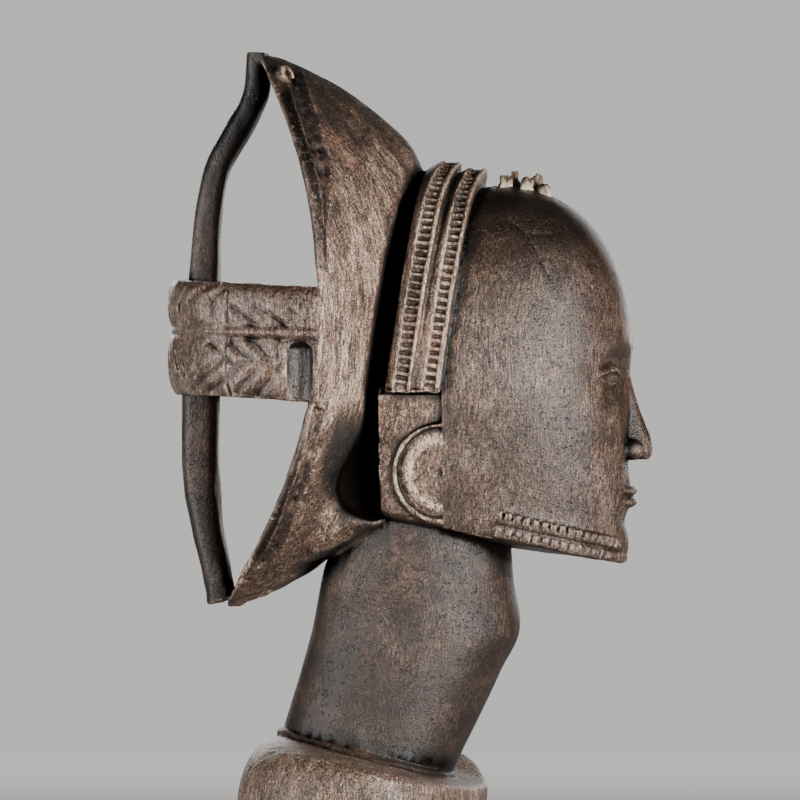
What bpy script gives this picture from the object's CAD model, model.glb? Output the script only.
"""Looks of a carved wooden ancestor bust with an open basket headdress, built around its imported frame.

Lengths are millimetres up to the point where a mesh is made, and metres in Blender. The face looks along +X.
The head and the headdress mirror themselves in the plane Y = 0, and the flat underside lies in Z = 0.
"""

from __future__ import annotations

import itertools
import logging
import math
import time
from collections.abc import Callable
from dataclasses import dataclass, field
from enum import Enum

import bpy
import numpy as np
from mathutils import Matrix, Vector
from mathutils.bvhtree import BVHTree
from mathutils.geometry import tessellate_polygon


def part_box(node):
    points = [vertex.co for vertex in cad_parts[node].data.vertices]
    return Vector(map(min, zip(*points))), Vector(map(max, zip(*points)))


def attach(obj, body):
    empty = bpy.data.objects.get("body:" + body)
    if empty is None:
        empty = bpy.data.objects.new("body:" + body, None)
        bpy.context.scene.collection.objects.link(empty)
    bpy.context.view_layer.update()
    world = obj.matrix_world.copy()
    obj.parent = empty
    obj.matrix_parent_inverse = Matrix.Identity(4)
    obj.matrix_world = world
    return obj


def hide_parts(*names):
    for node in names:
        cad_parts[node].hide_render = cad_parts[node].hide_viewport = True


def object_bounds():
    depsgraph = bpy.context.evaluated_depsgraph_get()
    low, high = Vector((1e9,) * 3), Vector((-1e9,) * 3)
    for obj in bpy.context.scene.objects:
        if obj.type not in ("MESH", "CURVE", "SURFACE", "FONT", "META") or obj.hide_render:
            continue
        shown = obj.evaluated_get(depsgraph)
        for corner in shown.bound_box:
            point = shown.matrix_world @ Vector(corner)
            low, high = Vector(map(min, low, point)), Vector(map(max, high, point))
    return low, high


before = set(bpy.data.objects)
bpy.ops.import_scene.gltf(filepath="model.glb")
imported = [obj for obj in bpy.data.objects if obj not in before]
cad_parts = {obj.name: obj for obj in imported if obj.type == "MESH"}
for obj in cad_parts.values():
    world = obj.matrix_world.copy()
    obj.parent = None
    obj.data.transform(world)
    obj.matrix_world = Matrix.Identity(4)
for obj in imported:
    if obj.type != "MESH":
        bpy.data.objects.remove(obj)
CAD_BOX = [list(corner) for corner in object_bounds()]

MM = 0.001
VIEW_TURN = math.radians(5)
LOG = logging.getLogger("bust")
Ring = Callable[[np.ndarray, np.ndarray], tuple]
Socket = bpy.types.NodeSocket


# Curves and fields


def signed_power(value: np.ndarray, power: float) -> np.ndarray:
    """Squares off the sine and cosine of an outline."""
    return np.sign(value) * np.abs(value) ** power


def lerp(start: np.ndarray, end: np.ndarray, share: np.ndarray) -> np.ndarray:
    """Goes from start to end."""
    return start + (end - start) * share


def smoothstep(value: np.ndarray, low: float, high: float) -> np.ndarray:
    """Rises smoothly from 0 at low to 1 at high."""
    share = np.clip((value - low) / (high - low), 0, 1)
    return share * share * (3 - 2 * share)


def swell(distance: np.ndarray, spread: float) -> np.ndarray:
    """Bell of height 1."""
    return np.exp(-((distance / spread) ** 2))


class Stations:
    """Smooth curve through stations, each a parameter followed by its values."""

    def __init__(self, *rows: tuple) -> None:
        """Takes the stations.

        Args:
            *rows: The stations, in rising order.
        """
        table = np.array(rows, float)
        self.places, self.values = table[:, 0], table[:, 1:]
        secants = np.diff(self.values, axis=0) / np.diff(self.places)[:, None]
        self.slopes = np.vstack([secants[:1], (secants[1:] + secants[:-1]) / 2, secants[-1:]])

    def __call__(self, parameter: np.ndarray) -> np.ndarray:
        """Values at parameters.

        Args:
            parameter: Where along the stations, in any array shape.

        Returns:
            One array of that shape for each value.
        """
        parameter = np.asarray(parameter, float)
        low = np.clip(np.searchsorted(self.places, parameter, side="right") - 1, 0, len(self.places) - 2)
        width = (self.places[low + 1] - self.places[low])[..., None]
        t = (parameter - self.places[low])[..., None] / width
        start, end = self.values[low], self.values[low + 1]
        bend_in, bend_out = self.slopes[low] * width, self.slopes[low + 1] * width
        value = start + t * (bend_in + t * (3 * (end - start) - 2 * bend_in - bend_out
                                            + t * (2 * (start - end) + bend_in + bend_out)))
        return np.moveaxis(value, -1, 0)


def noise(points: np.ndarray, size: tuple, seed: int) -> np.ndarray:
    """Smooth random field.

    Args:
        points: Places, n by 3.
        size: Size of a bump along X, Y and Z.
        seed: Chooses the field.

    Returns:
        A value from -1 to 1 for each place.
    """
    place = points / np.array(size, float)
    cell = np.floor(place).astype(np.int64)
    share = place - cell
    share = share * share * share * (share * (share * 6 - 15) + 10)
    total = np.zeros(len(points))
    for corner in itertools.product((0, 1), repeat=3):
        x, y, z = (cell[:, k] + corner[k] for k in range(3))
        code = (x * 374761393 + y * 668265263 + z * 1440662683 + seed * 974634777) & 0xFFFFFFFF
        code = ((code ^ (code >> 13)) * 1274126177) & 0xFFFFFFFF
        weight = np.prod([share[:, k] if corner[k] else 1 - share[:, k] for k in range(3)], axis=0)
        total += weight * ((code ^ (code >> 16)) / 0x7FFFFFFF - 1)
    return total


# Closed bodies


@dataclass
class Body:
    """Closed body in millimetres, with its triangles facing outwards."""

    points: np.ndarray
    triangles: np.ndarray

    @classmethod
    def of_rings(cls, rings: np.ndarray, endless: bool = False) -> Body:
        """Body that runs through rings of points.

        Args:
            rings: Rings by points by 3.
            endless: The last ring joins the first, so there are no ends to close.

        Returns:
            The closed body.
        """
        count, around, _ = rings.shape
        index = np.arange(count * around).reshape(count, around)
        ahead = np.roll(index, -1, axis=1)
        lower, upper = (index, np.roll(index, -1, axis=0)) if endless else (index[:-1], index[1:])
        lower_ahead, upper_ahead = (ahead, np.roll(ahead, -1, axis=0)) if endless else (ahead[:-1], ahead[1:])
        parts = [
            np.stack([lower, lower_ahead, upper_ahead], -1).reshape(-1, 3),
            np.stack([lower, upper_ahead, upper], -1).reshape(-1, 3),
        ]
        points = rings.reshape(-1, 3)
        if not endless:
            points = np.vstack([points, rings[0].mean(0), rings[-1].mean(0)])
            first, last = len(points) - 2, len(points) - 1
            parts.append(np.stack([ahead[0], index[0], np.full(around, first)], -1))
            parts.append(np.stack([index[-1], ahead[-1], np.full(around, last)], -1))
        return cls(points, np.vstack(parts)).outward()

    @classmethod
    def loft(cls, ring: Ring, around: int, steps: int) -> Body:
        """Body whose cross-sections are ring(t, angle), with t from 0 to 1.

        Args:
            ring: Gives X, Y and Z from t and angle.
            around: Points round a cross-section.
            steps: Steps along the body.

        Returns:
            The closed body.
        """
        t, angle = np.meshgrid(
            np.linspace(0, 1, steps + 1), np.arange(around) * 2 * np.pi / around, indexing="ij"
        )
        return cls.of_rings(np.stack(np.broadcast_arrays(*ring(t, angle)), -1))

    @classmethod
    def tube(cls, path: np.ndarray, radius: np.ndarray, around: int = 12, endless: bool = False) -> Body:
        """Round tube along a path.

        Args:
            path: Points of the middle line, n by 3.
            radius: One radius, or one for each point.
            around: Points round the tube.
            endless: The path is a loop.

        Returns:
            The closed body.
        """
        ahead, behind = np.roll(path, -1, axis=0), np.roll(path, 1, axis=0)
        if not endless:
            ahead[-1], behind[0] = path[-1], path[0]
        along = ahead - behind
        along /= np.linalg.norm(along, axis=1)[:, None]
        side = np.zeros_like(path)
        side[0] = np.cross(along[0], [0.3, 0.2, 1.0])
        for k in range(1, len(path)):
            side[k] = side[k - 1] - along[k] * side[k - 1].dot(along[k])
            side[k] /= np.linalg.norm(side[k])
        side[0] /= np.linalg.norm(side[0])
        other = np.cross(along, side)
        angle = np.arange(around) * 2 * np.pi / around
        spokes = side[:, None] * np.cos(angle)[:, None] + other[:, None] * np.sin(angle)[:, None]
        return cls.of_rings(path[:, None] + spokes * np.reshape(radius, (-1, 1, 1)), endless)

    @classmethod
    def slab(cls, outline: list, reach: float = 120) -> Body:
        """Plate with an outline of depths and heights, from one side of the carving to the other.

        Args:
            outline: Its corners, each a depth and a height.
            reach: How far it reaches to each side.

        Returns:
            The closed body.
        """
        flat = [Vector((x, 0, z)) for x, z in outline]
        caps = np.array([list(corners) for corners in tessellate_polygon([flat])])
        count = len(outline)
        near = np.array([[x, -reach, z] for x, z in outline], float)
        far = near * [1, -1, 1]
        index, ahead = np.arange(count), np.roll(np.arange(count), -1)
        walls = np.vstack([
            np.stack([index, ahead, ahead + count], -1), np.stack([index, ahead + count, index + count], -1)
        ])
        turn = sum(outline[k][0] * outline[(k + 1) % count][1] - outline[(k + 1) % count][0] * outline[k][1]
                   for k in range(count))
        corners = near[caps[0]]
        cap_turn = np.cross(corners[1] - corners[0], corners[2] - corners[0])[1]
        facing = caps if cap_turn * turn < 0 else caps[:, ::-1]
        return cls(np.vstack([near, far]), np.vstack([walls, facing[:, ::-1], facing + count])).outward()

    @classmethod
    def of_mesh(cls, mesh: bpy.types.Mesh) -> Body:
        """Body from a Blender mesh.

        Args:
            mesh: The mesh, in metres.

        Returns:
            The body, in millimetres.
        """
        mesh.calc_loop_triangles()
        triangles = np.empty(3 * len(mesh.loop_triangles), np.int32)
        mesh.loop_triangles.foreach_get("vertices", triangles)
        return cls(coordinates(mesh), triangles.reshape(-1, 3).astype(np.int64))

    @classmethod
    def together(cls, bodies: list[Body]) -> Body:
        """One body out of several that may overlap.

        Args:
            bodies: The bodies.

        Returns:
            One body with all their triangles.
        """
        starts = np.cumsum([0] + [len(body.points) for body in bodies[:-1]])
        return cls(
            np.vstack([body.points for body in bodies]),
            np.vstack([body.triangles + start for body, start in zip(bodies, starts)]),
        )

    def outward(self) -> Body:
        """The same body with its triangles turned outwards.

        Returns:
            The body itself, or a copy turned inside out.
        """
        a, b, c = (self.points[self.triangles[:, k]] for k in range(3))
        if np.einsum("ij,ij->", a, np.cross(b, c)) < 0:
            return Body(self.points, self.triangles[:, ::-1])
        return self

    def mirrored(self) -> Body:
        """The body's mirror image in the middle plane."""
        return Body(self.points * [1, -1, 1], self.triangles[:, ::-1])

    def both_sides(self) -> Body:
        """The body and its mirror image."""
        return Body.together([self, self.mirrored()])

    def leaning(self, head: Head) -> Body:
        """The body bent forward above the ears, as the diadem is.

        Args:
            head: The head whose lean it follows.

        Returns:
            The bent body.
        """
        points = self.points.copy()
        points[:, 0] += head.lean_at(points[:, 2])
        return Body(points, self.triangles)

    def thing(self, name: str) -> bpy.types.Object:
        """A Blender object with the body's mesh.

        Args:
            name: The object's name.

        Returns:
            The object, in the scene.
        """
        mesh = bpy.data.meshes.new(name)
        mesh.from_pydata((self.points * MM).tolist(), [], self.triangles.tolist())
        made = bpy.data.objects.new(name, mesh)
        bpy.context.scene.collection.objects.link(made)
        return made

    def less(self, tool: Body) -> Body:
        """The body with another cut out of it.

        Args:
            tool: The other body.

        Returns:
            What is left.
        """
        kept, cutter = self.thing("kept"), tool.thing("cutter")
        cut = kept.modifiers.new("cut", "BOOLEAN")
        cut.operation = "DIFFERENCE"
        cut.solver = "MANIFOLD"
        cut.object = cutter
        left = Body.of_mesh(evaluated_mesh(kept))
        discard(kept, cutter)
        return left


def evaluated_mesh(thing: bpy.types.Object) -> bpy.types.Mesh:
    """Plain mesh of an object with its modifiers applied."""
    graph = bpy.context.evaluated_depsgraph_get()
    return bpy.data.meshes.new_from_object(thing.evaluated_get(graph), depsgraph=graph)


def coordinates(mesh: bpy.types.Mesh) -> np.ndarray:
    """A mesh's points.

    Args:
        mesh: The mesh, in metres.

    Returns:
        The points in millimetres, n by 3.
    """
    points = np.empty(3 * len(mesh.vertices), np.float32)
    mesh.vertices.foreach_get("co", points)
    return points.reshape(-1, 3).astype(float) / MM


def write_values(mesh: bpy.types.Mesh, name: str, values: np.ndarray) -> None:
    """Writes one number for each point of a mesh, as a named attribute."""
    attribute = mesh.attributes.new(name, "FLOAT", "POINT")
    attribute.data.foreach_set("value", np.asarray(values, np.float32))


def discard(*things: bpy.types.Object) -> None:
    """Deletes objects with their meshes.

    Args:
        *things: The objects.
    """
    for thing in things:
        mesh = thing.data
        bpy.data.objects.remove(thing)
        if mesh.users == 0:
            bpy.data.meshes.remove(mesh)


# Node trees


class Wiring:
    """Short hand for the nodes and links of one tree."""

    def __init__(self, tree: bpy.types.NodeTree) -> None:
        """Takes the tree to build."""
        self.tree = tree

    def socket(self, name: str, kind: str, way: str = "INPUT", value: object = None) -> None:
        """Adds a named socket to a group's interface.

        Args:
            name: Its name.
            kind: Its kind, such as Float.
            way: INPUT or OUTPUT.
            value: Its default value.
        """
        made = self.tree.interface.new_socket(name=name, in_out=way, socket_type=f"NodeSocket{kind}")
        if value is not None:
            made.default_value = value

    def add(self, kind: str, inputs: dict | None = None, **settings: object) -> bpy.types.Node:
        """Adds a node.

        Args:
            kind: Its type.
            inputs: For each input's name or number, a socket to link or a value to set.
            settings: The node's properties.

        Returns:
            The node.
        """
        node = self.tree.nodes.new(kind)
        for name, value in settings.items():
            setattr(node, name, value)
        for name, value in (inputs or {}).items():
            if isinstance(value, Socket):
                self.tree.links.new(value, node.inputs[name])
            else:
                node.inputs[name].default_value = value
        return node

    def math(self, operation: str, *values: object, clamp: bool = False) -> Socket:
        """Arithmetic on sockets and numbers."""
        kind = "ShaderNodeMath"
        return self.add(kind, dict(enumerate(values)), operation=operation, use_clamp=clamp).outputs[0]

    def blend(self, share: object, low: object, high: object) -> Socket:
        """Mixes two colours."""
        return self.add("ShaderNodeMix", {0: share, 6: low, 7: high}, data_type="RGBA").outputs[2]

    def total(self, start: float, *terms: tuple) -> Socket:
        """A start plus weighted values.

        Args:
            start: The start.
            *terms: Pairs of a value and its weight.

        Returns:
            The sum.
        """
        value = start
        for term, weight in terms:
            value = self.math("MULTIPLY_ADD", term, weight, value)
        return value

    def ramp(self, value: object, stops: tuple) -> Socket:
        """Colour of a value between stops, each a place and a colour.

        Args:
            value: The value.
            stops: The stops.

        Returns:
            The colour.
        """
        node = self.add("ShaderNodeValToRGB", {0: value})
        stop_list = node.color_ramp.elements
        for place, _ in stops[2:]:
            stop_list.new(place)
        for stop, (place, colour) in zip(stop_list, stops):
            stop.position, stop.color = place, colour
        return node.outputs[0]

    def between(self, value: object, low: object, high: object, start: float = 0, end: float = 1) -> Socket:
        """Maps a value from one range to another, smoothly and within it."""
        inputs = {0: value, 1: low, 2: high, 3: start, 4: end}
        return self.add("ShaderNodeMapRange", inputs, interpolation_type="SMOOTHSTEP").outputs[0]


def blank_material(name: str) -> tuple[bpy.types.Material, Wiring, Socket]:
    """Starts a material.

    Args:
        name: Its name.

    Returns:
        The material without nodes, its wiring, and its Object coordinates.
    """
    material = bpy.data.materials.new(name)
    material.use_nodes = True
    material.node_tree.nodes.clear()
    wiring = Wiring(material.node_tree)
    return material, wiring, wiring.add("ShaderNodeTexCoord").outputs["Object"]


class MarkShape(Enum):
    """Cross-section of a mark in a row: the number of sides of its prism."""

    BLADE = 3
    ROUND = 10


@dataclass
class MarkRow:
    """Row of equal marks across a path: raised rungs, or blades that cut grooves.

    The marks' length lies across the path, turned by the tilt, and their height along the path's outward
    direction.
    """

    path: np.ndarray
    outward: np.ndarray
    pitch: float
    width: float
    height: float
    length: float
    shape: MarkShape
    tilt: float = 0.0
    unevenness: float = 0.08
    seed: int = 1

    @staticmethod
    def tree() -> bpy.types.NodeTree:
        """The shared node tree, built once.

        Returns:
            The tree, with an input for each size.
        """
        if "mark_row" in bpy.data.node_groups:
            return bpy.data.node_groups["mark_row"]
        group = bpy.data.node_groups.new("mark_row", "GeometryNodeTree")
        wiring = Wiring(group)
        wiring.socket("Geometry", "Geometry")
        for name in ("Pitch", "Width", "Height", "Length", "Tilt", "Unevenness"):
            wiring.socket(name, "Float")
        wiring.socket("Sides", "Int")
        wiring.socket("Seed", "Int")
        wiring.socket("Material", "Material")
        wiring.socket("Geometry", "Geometry", "OUTPUT")
        given = wiring.add("NodeGroupInput").outputs
        curve = wiring.add("GeometryNodeMeshToCurve", {"Mesh": given["Geometry"]})
        spaced = wiring.add(
            "GeometryNodeResampleCurve", {"Curve": curve.outputs[0], "Length": given["Pitch"]}, mode="LENGTH"
        )
        outward = wiring.add(
            "GeometryNodeInputNamedAttribute", {"Name": "outward"}, data_type="FLOAT_VECTOR"
        ).outputs["Attribute"]
        along = wiring.add("GeometryNodeInputTangent").outputs[0]
        facing = wiring.add(
            "FunctionNodeAxesToRotation",
            {"Primary Axis": outward, "Secondary Axis": along},
            primary_axis="Z",
            secondary_axis="X",
        )

        def jitter(offset: int) -> Socket:
            """Random number about 0, within the unevenness.

            Args:
                offset: Added to the seed.

            Returns:
                The number, one for each mark.
            """
            least = wiring.math("MULTIPLY", given["Unevenness"], -1.0)
            seed = wiring.math("ADD", given["Seed"], float(offset))
            inputs = {"Min": least, "Max": given["Unevenness"], "Seed": seed}
            chosen = wiring.add("FunctionNodeRandomValue", {}, data_type="FLOAT")
            for socket in chosen.inputs:
                if socket.enabled and socket.name in inputs:
                    group.links.new(inputs[socket.name], socket)
            return next(output for output in chosen.outputs if output.enabled)

        tilt = wiring.math("ADD", given["Tilt"], jitter(1))
        turn = wiring.add("ShaderNodeCombineXYZ", {"Z": tilt})
        turned = wiring.add(
            "FunctionNodeRotateRotation",
            {"Rotation": facing.outputs[0], "Rotate By": turn.outputs[0]},
            rotation_space="LOCAL",
        )
        prism = {"Vertices": given["Sides"], "Radius": 1.0, "Depth": 1.0}
        bar = wiring.add("GeometryNodeMeshCylinder", prism, fill_type="NGON")
        lying = wiring.add(
            "GeometryNodeTransform", {"Geometry": bar.outputs[0], "Rotation": (math.pi / 2, math.pi / 2, 0)}
        )
        size = wiring.add("ShaderNodeCombineXYZ", {
            "X": wiring.math("MULTIPLY", given["Width"], wiring.math("ADD", jitter(2), 1.0)),
            "Y": wiring.math("MULTIPLY", given["Length"], wiring.math("ADD", jitter(3), 1.0)),
            "Z": wiring.math("MULTIPLY", given["Height"], wiring.math("ADD", jitter(4), 1.0)),
        })
        placed = wiring.add("GeometryNodeInstanceOnPoints", {
            "Points": spaced.outputs[0],
            "Instance": lying.outputs[0],
            "Rotation": turned.outputs[0],
            "Scale": size.outputs[0],
        })
        real = wiring.add("GeometryNodeRealizeInstances", {"Geometry": placed.outputs[0]})
        dressed = wiring.add(
            "GeometryNodeSetMaterial", {"Geometry": real.outputs[0], "Material": given["Material"]}
        )
        wiring.add("NodeGroupOutput", {0: dressed.outputs[0]})
        return group

    def body(self) -> Body:
        """The marks as one body.

        Returns:
            The closed body.
        """
        mesh = bpy.data.meshes.new("row")
        edges = [(k, k + 1) for k in range(len(self.path) - 1)]
        mesh.from_pydata((self.path * MM).tolist(), edges, [])
        outward = mesh.attributes.new("outward", "FLOAT_VECTOR", "POINT")
        outward.data.foreach_set("vector", self.outward.astype(np.float32).ravel())
        row = bpy.data.objects.new("row", mesh)
        bpy.context.scene.collection.objects.link(row)
        marks = row.modifiers.new("marks", "NODES")
        marks.node_group = self.tree()
        values = {
            "Pitch": self.pitch * MM,
            "Width": self.width * MM,
            "Height": self.height * MM,
            "Length": self.length * MM,
            "Tilt": self.tilt,
            "Unevenness": self.unevenness,
            "Sides": self.shape.value,
            "Seed": self.seed,
        }
        for item in marks.node_group.interface.items_tree:
            if item.in_out == "INPUT" and item.name in values:
                marks[item.identifier] = values[item.name]
        made = Body.of_mesh(evaluated_mesh(row))
        discard(row)
        return made.outward()


# The carving's parts


@dataclass
class Head:
    """Face, dome and ears."""

    crown: float = 346
    temple: float = 262
    jaw: float = 176.5
    jaw_slope: float = 0.21
    centre: float = 58
    front: float = 126
    chin_set_back: float = 6
    half_width: float = 62
    chin_half_width: float = 43
    taper: float = 1.7
    step: float = 35.5
    squareness: float = 2.35
    dome_share: float = 0.42
    lean: float = 0.149
    keel: float = 5
    ear_top: float = 246
    ear_back: float = 4
    ear_inset: float = 4
    ear_height: float = 203.5

    @property
    def chin(self) -> float:
        """Height of the chin's lowest point."""
        return self.jaw_height(self.front - self.chin_set_back)

    @property
    def power(self) -> float:
        """Power of the sine and cosine that gives the head's squareness."""
        return 2 / self.squareness

    def jaw_height(self, x: np.ndarray) -> np.ndarray:
        """Height of the jaw's underside at a depth."""
        return self.jaw - self.jaw_slope * (x - self.step)

    def lean_at(self, z: np.ndarray) -> np.ndarray:
        """How far the diadem leans forward at a height."""
        return self.lean * np.maximum(0, z - self.ear_top)

    def level(self, fraction: float) -> float:
        """Height of a feature, from its fraction of the way from the chin to the crown."""
        return lerp(self.chin, self.crown, fraction)

    def cheek(self, z: np.ndarray) -> np.ndarray:
        """Half-width at a height below the temples, and at the temples above them."""
        fall = np.clip((self.temple - z) / (self.temple - self.chin), 0, 1)
        return self.half_width - (self.half_width - self.chin_half_width) * fall**self.taper

    def arch(self, fraction: np.ndarray, offset: np.ndarray, bottom: float, crown: np.ndarray) -> tuple:
        """The head's outline seen from the front, moved outwards by an offset: straight legs under an arch.

        Args:
            fraction: Share of the way from one foot over the crown to the other.
            offset: Distance outside the cheeks.
            bottom: Height of the feet.
            crown: Height of the top.

        Returns:
            The places' Y and Z.
        """
        legs = 0.22
        near_foot = np.minimum(fraction, 1 - fraction)
        leg_height = lerp(bottom, self.temple, np.clip(near_foot / legs, 0, 1))
        angle = np.pi * np.clip((fraction - legs) / (1 - 2 * legs), 0, 1)
        on_leg = near_foot < legs
        y = np.where(
            on_leg,
            np.sign(fraction - 0.5) * (self.cheek(leg_height) + offset),
            -signed_power(np.cos(angle), self.power) * (self.half_width + offset),
        )
        rise = signed_power(np.sin(angle), self.power) * (crown - self.temple)
        return y, np.where(on_leg, leg_height, self.temple + rise)

    def arch_plate(self, offset: float, bottom: float, crown: float, start: float, end: float) -> Body:
        """Leaning plate with the head's arched outline, between two depths.

        Args:
            offset: Distance outside the cheeks.
            bottom: Height of its feet.
            crown: Height of its top.
            start: Rear depth.
            end: Front depth.

        Returns:
            The closed body.
        """
        y, z = self.arch(np.linspace(0, 1, 161), offset, bottom, crown)
        rings = np.stack([np.stack([np.full_like(y, x), y, z], -1) for x in (start, end)])
        return Body.of_rings(rings).leaning(self)

    def relief(self, y: np.ndarray, z: np.ndarray) -> np.ndarray:
        """Forward relief of the face: brows, sockets, cheekbones, mouth and chin.

        Args:
            y: Places sideways.
            z: Their heights.

        Returns:
            How far the face stands out there.
        """
        side = np.abs(y)
        brow = self.level(0.585) - 3.5 * ((side - 24) / 24) ** 2
        nose_root = 1 - 0.8 * swell(side, 7)
        socket = swell(side - 26, 17) * swell(z - self.level(0.5) + 1, 12.5)
        fold = swell(side - 4 - 0.35 * (self.level(0.3) - z), 4.5) * swell(z - self.level(0.2), 12)
        return (
            1.7 * swell(z - brow, 4.2) * smoothstep(54 - side, 0, 22) * nose_root
            - 6.5 * socket
            + 1.6 * swell(side - 38, 16) * swell(z - self.level(0.38), 15)
            + 3 * swell(side, 20) * swell(z - self.level(0.18), 13)
            - 0.9 * fold
            - 1.6 * swell(side, 17) * swell(z - self.level(0.115), 5)
            + 3.5 * swell(side, 17) * swell(z - self.level(0.045), 12)
        )

    def reach(self, low: np.ndarray) -> np.ndarray:
        """How far the face reaches in front of the head's middle, from the chin (0) to the temples (1)."""
        return self.front - self.centre - self.chin_set_back * (1 - low) ** 1.5

    def depth(self, y: np.ndarray, z: np.ndarray) -> np.ndarray:
        """Depth of the face's surface at places below the temples.

        Args:
            y: Places sideways.
            z: Their heights.

        Returns:
            Their depths.
        """
        low = np.clip((z - self.chin) / (self.temple - self.chin), 0, 1)
        plan = np.maximum(0, 1 - np.abs(y / self.cheek(z)) ** self.squareness) ** (1 / self.squareness)
        return self.centre + plan * self.reach(low) + plan**1.5 * self.relief(y, z)

    def face_block(self) -> Body:
        """Front of the head, from the raised edge behind the cheeks.

        Returns:
            The closed body.
        """

        def ring(t: np.ndarray, angle: np.ndarray) -> tuple:
            """Places at shares t of the length and angles round it."""
            turn = signed_power(1 - angle / np.pi, 1.3) * np.pi
            dome = np.clip((t - 1 + self.dome_share) / self.dome_share, 0, 1) * 0.985 * np.pi / 2
            low = np.clip(t / (1 - self.dome_share), 0, 1)
            shrink = np.cos(dome) ** self.power
            x = signed_power(np.cos(turn), self.power)
            depth = self.centre + x * self.reach(low) * shrink
            below = lerp(self.jaw_height(depth), self.temple, low)
            z = np.where(dome > 0, lerp(self.temple, self.crown, np.sin(dome) ** self.power), below)
            y = signed_power(np.sin(turn), self.power) * self.cheek(z) * shrink
            return depth + np.maximum(0, x) ** 1.5 * shrink * self.relief(y, z), y, z

        edge = [(self.step + self.lean * max(0, z - self.ear_top), z) for z in (100, self.ear_top, 420)]
        behind = Body.slab([(-120, 100), *edge, (-120, 420)])
        return Body.loft(ring, 260, 190).less(behind)

    def jaw_keel(self) -> Body:
        """Rounded underside of the jaw, from the nape to the chin.

        Returns:
            The closed body.
        """

        def ring(t: np.ndarray, angle: np.ndarray) -> tuple:
            """Places at shares t of the length and angles round it."""
            x = lerp(self.ear_back + 2, self.front - self.chin_set_back - 5, t)
            share = np.clip((x - self.centre) / self.reach(0.0), 0, 0.97)
            plan = (1 - share**self.squareness) ** (1 / self.squareness)
            half_width = (self.cheek(self.jaw_height(x)) - 4) * plan
            up = np.sin(angle)
            rise = np.where(up < 0, (2 + self.keel * (1 - t**2)) * up, 2 * up)
            return x, half_width * np.cos(angle), self.jaw_height(x) + 2 + rise

        return Body.loft(ring, 40, 40)

    def nose(self) -> Body:
        """Straight nose with its wings, from the brows to its foot.

        Returns:
            The closed body.
        """
        shape = Stations(
            (0, 4.2, 8), (0.3, 4.8, 11.5), (0.6, 6.6, 16.5), (0.8, 8.6, 20.4), (0.92, 9.2, 21.4), (1, 8, 18.5)
        )

        def ring(t: np.ndarray, angle: np.ndarray) -> tuple:
            """Places at shares t of the length and angles round it."""
            half_width, reach = shape(t)
            z = lerp(self.level(0.53), self.level(0.275), t)
            x = self.front - 10 + np.maximum(-0.2, np.cos(angle)) * reach
            return x, half_width * np.sin(angle), z + 0 * angle

        bridge = Body.loft(ring, 40, 40)
        foot = self.level(0.283)
        wing = self.ball((self.front + 0.8, 9.6, foot + 3.4), (6.4, 4.2, 5.2))
        nostril = self.ball((self.front + 3.6, 4.6, foot - 3.0), (3.4, 2.1, 3.6))
        return Body.together([bridge.less(nostril.both_sides()), wing.less(nostril).both_sides()])

    @staticmethod
    def ball(middle: tuple, radii: tuple) -> Body:
        """Ellipsoid with its poles up and down.

        Args:
            middle: Its middle.
            radii: Its radii along X, Y and Z.

        Returns:
            The closed body.
        """

        def ring(t: np.ndarray, angle: np.ndarray) -> tuple:
            """Places at shares t of the length and angles round it."""
            height = -np.cos(np.pi * (0.03 + 0.94 * t))
            round_ = np.sqrt(1 - height**2)
            return (
                middle[0] + radii[0] * round_ * np.cos(angle),
                middle[1] + radii[1] * round_ * np.sin(angle),
                middle[2] + radii[2] * height,
            )

        return Body.loft(ring, 24, 16)

    def almond(self, y: float, z: float, length: float, height: float, rise: float) -> Body:
        """Almond that lies on the face.

        Args:
            y: Its middle, sideways.
            z: Its height.
            length: Its size sideways.
            height: Its size upwards.
            rise: How far it stands out.

        Returns:
            The closed body.
        """
        sunk = 4

        def ring(t: np.ndarray, angle: np.ndarray) -> tuple:
            """Places at shares t of the length and angles round it."""
            along = 2 * t - 1
            opening = np.maximum(0.02, 1 - np.abs(along) ** 2)
            across = y + along * length / 2
            x = self.depth(across, z) - sunk + (rise + sunk) * np.sqrt(opening) * np.cos(angle)
            return x, across + 0 * angle, z + height / 2 * opening * np.sin(angle)

        return Body.loft(ring, 36, 40)

    def eye(self) -> Body:
        """Lidded, half closed eye.

        Returns:
            The lids and the ball of one eye.
        """
        z = self.level(0.5)
        lids = self.almond(28, z, 32, 16.5, 4.6).less(self.almond(28, z - 1.2, 27, 7.6, 9))
        ball = self.almond(28, z - 0.8, 30, 14, 3.1)
        return Body.together([lids, ball])

    def lips(self) -> Body:
        """Closed lips.

        Returns:
            Both lips, and what lies between them.
        """
        z = self.level(0.18)
        upper = Body.together([self.almond(4.5 * side, z + 2.4, 30, 6.6, 3.2) for side in (-1, 1)])
        return Body.together([upper, self.almond(0, z - 3.2, 31, 7.4, 3.4), self.almond(0, z, 42, 4.2, 0.8)])

    def curl(self, radius: float, half_width: float, rise: float, power: float, spread: float = 0.0) -> Body:
        """Half ring of an ear, open to the front, which spreads towards its lower end.

        Args:
            radius: Radius of its middle line.
            half_width: Half its width.
            rise: How far it stands out.
            power: Power of its section, where less is squarer.
            spread: Share by which its lower end is wider.

        Returns:
            The closed body.
        """

        def ring(t: np.ndarray, angle: np.ndarray) -> tuple:
            """Places at shares t of the length and angles round it."""
            turn = lerp(0.49, 1.51, t) * np.pi
            out = radius + half_width * (1 + spread * t**3) * signed_power(np.cos(angle), power)
            z = self.ear_height + 1.04 * out * np.sin(turn)
            y = self.cheek(z) - self.ear_inset - 4 + (rise + 4) * signed_power(np.sin(angle), power)
            return self.step - 0.5 + out * np.cos(turn), y, z

        return Body.loft(ring, 28, 60)

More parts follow.
